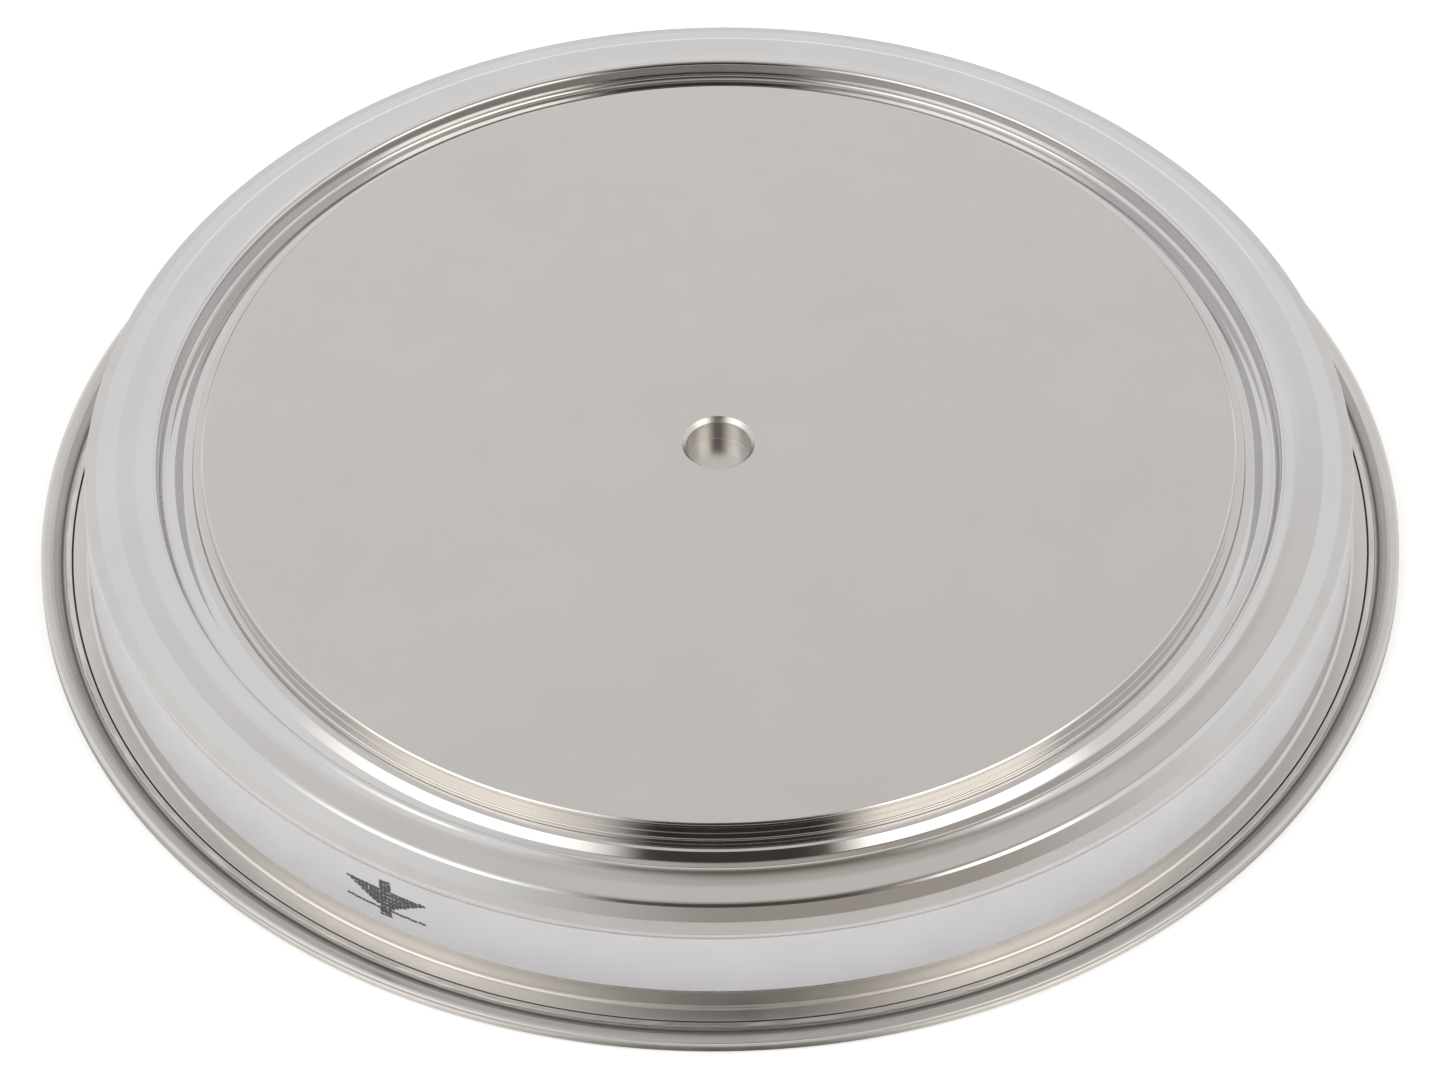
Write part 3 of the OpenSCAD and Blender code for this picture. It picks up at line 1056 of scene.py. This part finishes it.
@dataclass
class PolarityMark:
    """Diode symbol printed in dots on the ceramic: stem, triangle, bar and stem.

    Arcs are measured along the ceramic from the side that faces the camera, and rows
    run downwards from the top of the upper stem.
    """

    ceramic_r: float
    arc: float = -19.15
    top_z: float = 5.35
    column_pitch: float = 0.235
    row_pitch: float = 0.143
    triangle_rows: tuple[int, int] = (5, 15)
    bar_row: int = 15
    last_row: int = 18
    half_columns: int = 10
    stem_columns: int = 1
    dot_r: tuple[float, float] = (0.200, 0.128)
    jitter: float = 0.018
    height: float = 0.012
    sunk: float = 0.02
    inner_share: float = 0.6
    rim_points: int = 12
    seed: int = 5

    def cells(self) -> Array:
        """Columns and rows of the printed dots.

        A dot is printed where its column lies within the symbol's half width on its
        row: the whole width falls evenly to nothing down the triangle.

        Returns:
            Rows of [column, row], with column 0 down the symbol's middle.
        """
        first, last = self.triangle_rows
        columns = np.arange(-self.half_columns, self.half_columns + 1)
        column, row = np.meshgrid(columns, np.arange(self.last_row + 1), indexing="ij")
        stem = np.abs(column) <= self.stem_columns
        inside = (row >= first) & (row < last)
        taper = self.half_columns * (last - row) / (last - first)
        triangle = inside & (np.abs(column) <= taper)
        return np.argwhere(stem | triangle | (row == self.bar_row)) - [self.half_columns, 0]

    def build(self) -> None:
        """Makes and dresses the mark: one low closed lens for each dot.

        The point of a dot at angle t and share q of its radius lies at the dot's
        centre plus q times (a cos t, b sin t), along the arc and up. It stands above
        the ceramic by the height times (1 - q squared), and its rim and its floor lie
        a little under the surface.
        """
        cells = self.cells()
        shift = np.random.default_rng(self.seed).normal(0.0, self.jitter, cells.shape)
        start = np.array([self.arc, self.top_z])
        centre = start + cells * [self.column_pitch, -self.row_pitch] + shift
        angle = np.linspace(0.0, 2 * math.pi, self.rim_points, endpoint=False)
        ring = np.stack([np.cos(angle), np.sin(angle)], axis=1) * self.dot_r
        rings = np.concatenate([np.zeros((1, 2)), self.inner_share * ring, ring, np.zeros((1, 2))])
        share = np.concatenate([[0.0], np.full(len(ring), self.inner_share), np.ones(len(ring))])
        rise = self.height * (1 - share**2) - self.sunk * (share == 1)
        lift = np.concatenate([rise, [-self.sunk]])

        arc = centre[:, None, 0] + rings[None, :, 0]
        level = centre[:, None, 1] + rings[None, :, 1]
        turn = arc / self.ceramic_r - math.pi / 2
        radius = self.ceramic_r + lift[None, :]
        points = np.stack([radius * np.cos(turn), radius * np.sin(turn), level], axis=2) * MM

        n = self.rim_points
        here = np.arange(n)
        beside = (here + 1) % n
        inner, outer, floor = 1 + here, 1 + n + here, 1 + 2 * n
        cap = np.stack([np.zeros(n, int), inner, 1 + beside], axis=1)
        band = np.stack([inner, outer, 1 + n + beside, 1 + beside], axis=1)
        base = np.stack([np.full(n, floor), 1 + n + beside, outer], axis=1)
        offset = np.arange(len(cells))[:, None, None] * len(lift)
        faces = []
        for part in (cap, band, base):
            faces += (part[None] + offset).reshape(-1, part.shape[1]).tolist()
        piece = mesh_object("polarity_mark", points.reshape(-1, 3), faces)
        dress(piece, PRINT_INK, "alumina")


@dataclass
class InnerStack:
    """The sealed pieces between the poles, which keep their solids and get their finish."""

    finishes: tuple[tuple[str, Finish], ...] = (
        ("cathode_disc", MOLYBDENUM),
        ("silicon_wafer", SILICON),
        ("anode_disc", MOLYBDENUM),
        ("edge_rubber", SILICONE_RUBBER),
        ("locating_ring", FLUOROPOLYMER),
        ("cathode_flange_braze", SILVER_BRAZE),
        ("anode_flange_braze", SILVER_BRAZE),
        ("ceramic_base_braze", SILVER_BRAZE),
        ("ceramic_top_braze", SILVER_BRAZE),
    )

    def build(self) -> None:
        """Dresses each node with its finish."""
        for name, finish in self.finishes:
            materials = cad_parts[name].data.materials
            materials.clear()
            materials.append(finish.material())
            log.info("%s: finished as %s", name, finish.name)


class Lay(Enum):
    """How a card curves round the object: about the upright axis, or over the top."""

    ROUND = "round"
    OVER = "over"


@dataclass(frozen=True)
class Card:
    """A curved studio card round the object: a softbox where it shines, a flag where not.

    Attributes:
        name: name of the card.
        lay: how it curves.
        across: its two ends. Round: directions from +X to +Y. Over: angles to the
            sides of the plane through the camera and the axis. In degrees.
        along: its near and its far edge. Round: heights above the floor. Over: angles
            from the floor on the camera's side over the top. In degrees.
        strength: light that it gives, where 1 is white.
        tint: colour of that light.
        cover: share that it hides of what is behind it, as pairs of an angle along it
            and a share, which is even before the first and past the last.
        soft_ends: part of its width over which each end fades.
        distance: distance from the object, in metres.
        steps: faces along each way.
    """

    name: str
    lay: Lay
    across: Ends
    along: Ends
    strength: float
    tint: Colour = WHITE
    cover: tuple[Ends, ...] = ((0.0, 1.0),)
    soft_ends: float = 0.08
    distance: float = 0.75
    steps: int = 48

    def directions(self) -> Array:
        """Unit directions from the object to the card's grid of points.

        Round: the direction of azimuth a and elevation e is (cos a cos e, sin a cos e,
        sin e). Over: the direction at a to the side and e over the top is (sin a,
        -cos a cos e, cos a sin e).

        Returns:
            A grid of unit vectors, with a row for each step across.
        """
        share = np.linspace(0.0, 1.0, self.steps + 1)
        a = np.radians(np.interp(share, (0, 1), self.across))[:, None]
        e = np.radians(np.interp(share, (0, 1), self.along))[None, :]
        if self.lay is Lay.ROUND:
            parts = (np.cos(a) * np.cos(e), np.sin(a) * np.cos(e), np.sin(e) + 0 * a)
        else:
            parts = (np.sin(a) + 0 * e, -np.cos(a) * np.cos(e), np.cos(a) * np.sin(e))
        return np.stack(parts, axis=2)

    def covers(self) -> Array:
        """Cover of each point of the grid: the share at its angle times the end ramps.

        Returns:
            A share for each point, with a row for each step across.
        """
        share = np.linspace(0.0, 1.0, self.steps + 1)
        ends = np.clip(np.minimum(share, 1.0 - share) / self.soft_ends, 0.0, 1.0)
        angles, shares = zip(*self.cover)
        along = np.interp(np.interp(share, (0, 1), self.along), angles, shares)
        return ends[:, None] * along[None, :]

    def build(self) -> None:
        """Makes the card. The camera doesn't see it; the metal does."""
        grid = self.distance * self.directions()
        index = np.arange(grid[..., 0].size).reshape(grid.shape[:2])
        faces = np.stack([index[:-1, :-1], index[:-1, 1:], index[1:, 1:], index[1:, :-1]], axis=2)
        card = mesh_object(self.name, grid.reshape(-1, 3), faces.reshape(-1, 4).tolist())
        cover = card.data.attributes.new("cover", "FLOAT", "POINT")
        cover.data.foreach_set("value", self.covers().ravel())
        card.data.materials.append(self.material())
        card.visible_camera = False

    def material(self) -> Material:
        """An even light that lets through what is behind it where the cover fades.

        A dim card is only met by chance, so it takes no share of the light samples.

        Returns:
            The new material.
        """
        material = bpy.data.materials.new(self.name)
        bench = NodeBench(material)
        tint = (*self.tint, 1.0)
        light = bench.add("ShaderNodeEmission", {"Color": tint, "Strength": self.strength})
        clear = bench.add("ShaderNodeBsdfTransparent")
        cover = bench.add("ShaderNodeAttribute")
        cover.attribute_name = "cover"
        mix = bench.add("ShaderNodeMixShader", {
            "Fac": cover.outputs["Fac"], 1: clear.outputs["BSDF"], 2: light.outputs["Emission"],
        })
        bench.add("ShaderNodeOutputMaterial", {"Surface": mix.outputs["Shader"]})
        material.cycles.emission_sampling = "AUTO" if self.strength > 1.0 else "NONE"
        return material


# What the two softboxes share
SOFTBOX = {"lay": Lay.ROUND, "along": (27.0, 60.0), "tint": (1.0, 0.97, 0.90), "steps": 16}


@dataclass
class Studio:
    """Pale floor, white surroundings, two softboxes, a flag in front and a ceiling card."""

    floor_width: float = 6.0
    floor_tone: float = 0.90
    floor_lift: float = 0.44
    floor_gap: float = 0.02
    daylight: float = 0.72
    cards: tuple[Card, ...] = (
        Card("softbox_left", across=(-182.0, -110.0), strength=2.2, soft_ends=0.33, **SOFTBOX),
        Card("softbox_right", across=(-66.0, -10.0), strength=2.3, soft_ends=0.2, **SOFTBOX),
        Card(
            "flag_front", Lay.OVER, (-19.0, 22.0), (8.0, 105.0), 0.06, (1.0, 0.88, 0.74),
            soft_ends=0.2, cover=(
                (8.0, 0.5), (16.0, 0.9), (31.0, 1.0), (64.0, 1.0),
                (74.0, 0.6), (85.0, 0.35), (96.0, 0.13), (105.0, 0.0),
            ),
        ),
        Card(
            "ceiling", Lay.OVER, (-14.0, 30.0), (33.0, 150.0), 0.54, (1.0, 0.92, 0.83),
            soft_ends=0.3, distance=0.8, cover=(
                (33.0, 1.0), (112.0, 1.0), (119.0, 0.73), (125.0, 0.58),
                (130.0, 0.42), (134.5, 0.15), (140.0, 0.03), (150.0, 0.0),
            ),
        ),
    )

    def build(self) -> None:
        """Makes the floor, the surroundings and the cards."""
        self.build_floor()
        self.build_world()
        for card in self.cards:
            card.build()
        log.info("studio: %d cards", len(self.cards))

    def build_floor(self) -> None:
        """White floor just under the object, which keeps the object's shadow."""
        half = self.floor_width / 2
        z = -self.floor_gap * MM
        corners = np.array([[-half, -half, z], [half, -half, z], [half, half, z], [-half, half, z]])
        floor = mesh_object("floor", corners, [[0, 1, 2, 3]])
        material = bpy.data.materials.new("floor_white")
        bench = NodeBench(material)
        matt = bench.add("ShaderNodeBsdfDiffuse", {"Color": (self.floor_tone,) * 3 + (1.0,)})
        seen = {0: bench.seen_directly(), 1: self.floor_lift}
        lift = bench.add("ShaderNodeMath", seen, "MULTIPLY").outputs[0]
        glow = bench.add("ShaderNodeEmission", {"Strength": lift})
        both = bench.add("ShaderNodeAddShader", {
            0: matt.outputs["BSDF"], 1: glow.outputs["Emission"],
        })
        bench.add("ShaderNodeOutputMaterial", {"Surface": both.outputs["Shader"]})
        floor.data.materials.append(material)

    def build_world(self) -> None:
        """White where it is seen, and even daylight of a plain level on everything else.

        The daylight is even, so it takes no share of the light samples either.
        """
        world = bpy.data.worlds.new("white_room")
        bpy.context.scene.world = world
        world.cycles.sampling_method = "NONE"
        bench = NodeBench(world)
        level = bench.mapped(bench.seen_directly(), (0.0, 1.0), (self.daylight, 1.0))
        sky = bench.add("ShaderNodeBackground", {"Color": (*WHITE, 1.0), "Strength": level})
        bench.add("ShaderNodeOutputWorld", {"Surface": sky.outputs["Background"]})


@dataclass
class Viewpoint:
    """Camera at the photograph's viewing angle.

    The camera stands in front of the object, on its -Y side, at a distance from the
    centre of the upper contact face. It is turned a little off that centre, by the
    centre's place in the photograph, and tilted about its own axis.
    """

    elevation: float = 45.5
    distance: float = 600.0
    focal_px: float = 600.0 * 18.103
    frame_px: tuple[int, int] = (1440, 1080)
    face_centre_px: tuple[float, float] = (718.5, 442.4)
    roll: float = -0.015
    sensor: float = 36.0

    def build(self, top: float) -> None:
        """Makes the camera.

        Args:
            top: height of the upper contact face, in millimetres.
        """
        lift = math.radians(self.elevation)
        stand = np.array([0.0, -math.cos(lift), math.sin(lift)])
        forward = -stand
        right = np.array([1.0, 0.0, 0.0])
        upward = np.cross(right, forward)
        right, upward = turned_pair(right, upward, self.roll)
        half_w, half_h = self.frame_px[0] / 2, self.frame_px[1] / 2
        tilt = math.atan((self.face_centre_px[1] - half_h) / self.focal_px)
        forward, upward = turned_pair(forward, upward, tilt)
        swing = math.atan((self.face_centre_px[0] - half_w) / self.focal_px)
        forward, right = turned_pair(forward, right, -swing)

        data = bpy.data.cameras.new("camera")
        data.sensor_width = self.sensor
        data.lens = self.focal_px * self.sensor / self.frame_px[0]
        data.clip_start = 0.01
        camera = bpy.data.objects.new("camera", data)
        place = (stand * self.distance + np.array([0.0, 0.0, top])) * MM
        turn = Matrix(np.stack([right, upward, -forward], axis=1).tolist()).to_4x4()
        camera.matrix_world = Matrix.Translation(Vector(place)) @ turn
        bpy.context.scene.collection.objects.link(camera)
        bpy.context.scene.camera = camera
        log.info("camera: lens %.1f mm", data.lens)


def turned_pair(a: Array, b: Array, angle: float) -> tuple[Array, Array]:
    """Turns two unit vectors in their own plane, a towards b, by an angle."""
    c, s = math.cos(angle), math.sin(angle)
    return a * c + b * s, b * c - a * s


def main() -> None:
    """Builds the camera, the capsule's pieces and the studio in order."""
    bpy.context.scene.view_settings.view_transform = "Standard"
    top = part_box("anode_pole")[1].z / MM
    ceramic_low, ceramic_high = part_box("ceramic_ring")

    Viewpoint().build(top)
    sheets = FlangeSheets()
    weld = WeldFlange(sheets)
    Pole(Side.ANODE).build(top)
    Pole(Side.CATHODE).build(0.0)
    sheets.build_anode(top)
    weld.build_ring()
    weld.build_cathode_flange()
    Insulator(sheets.ceramic_r, ceramic_low.z / MM, ceramic_high.z / MM).build_ring()
    PolarityMark(sheets.ceramic_r).build()
    InnerStack().build()
    Studio().build()


if __name__ == "__main__":
    main()
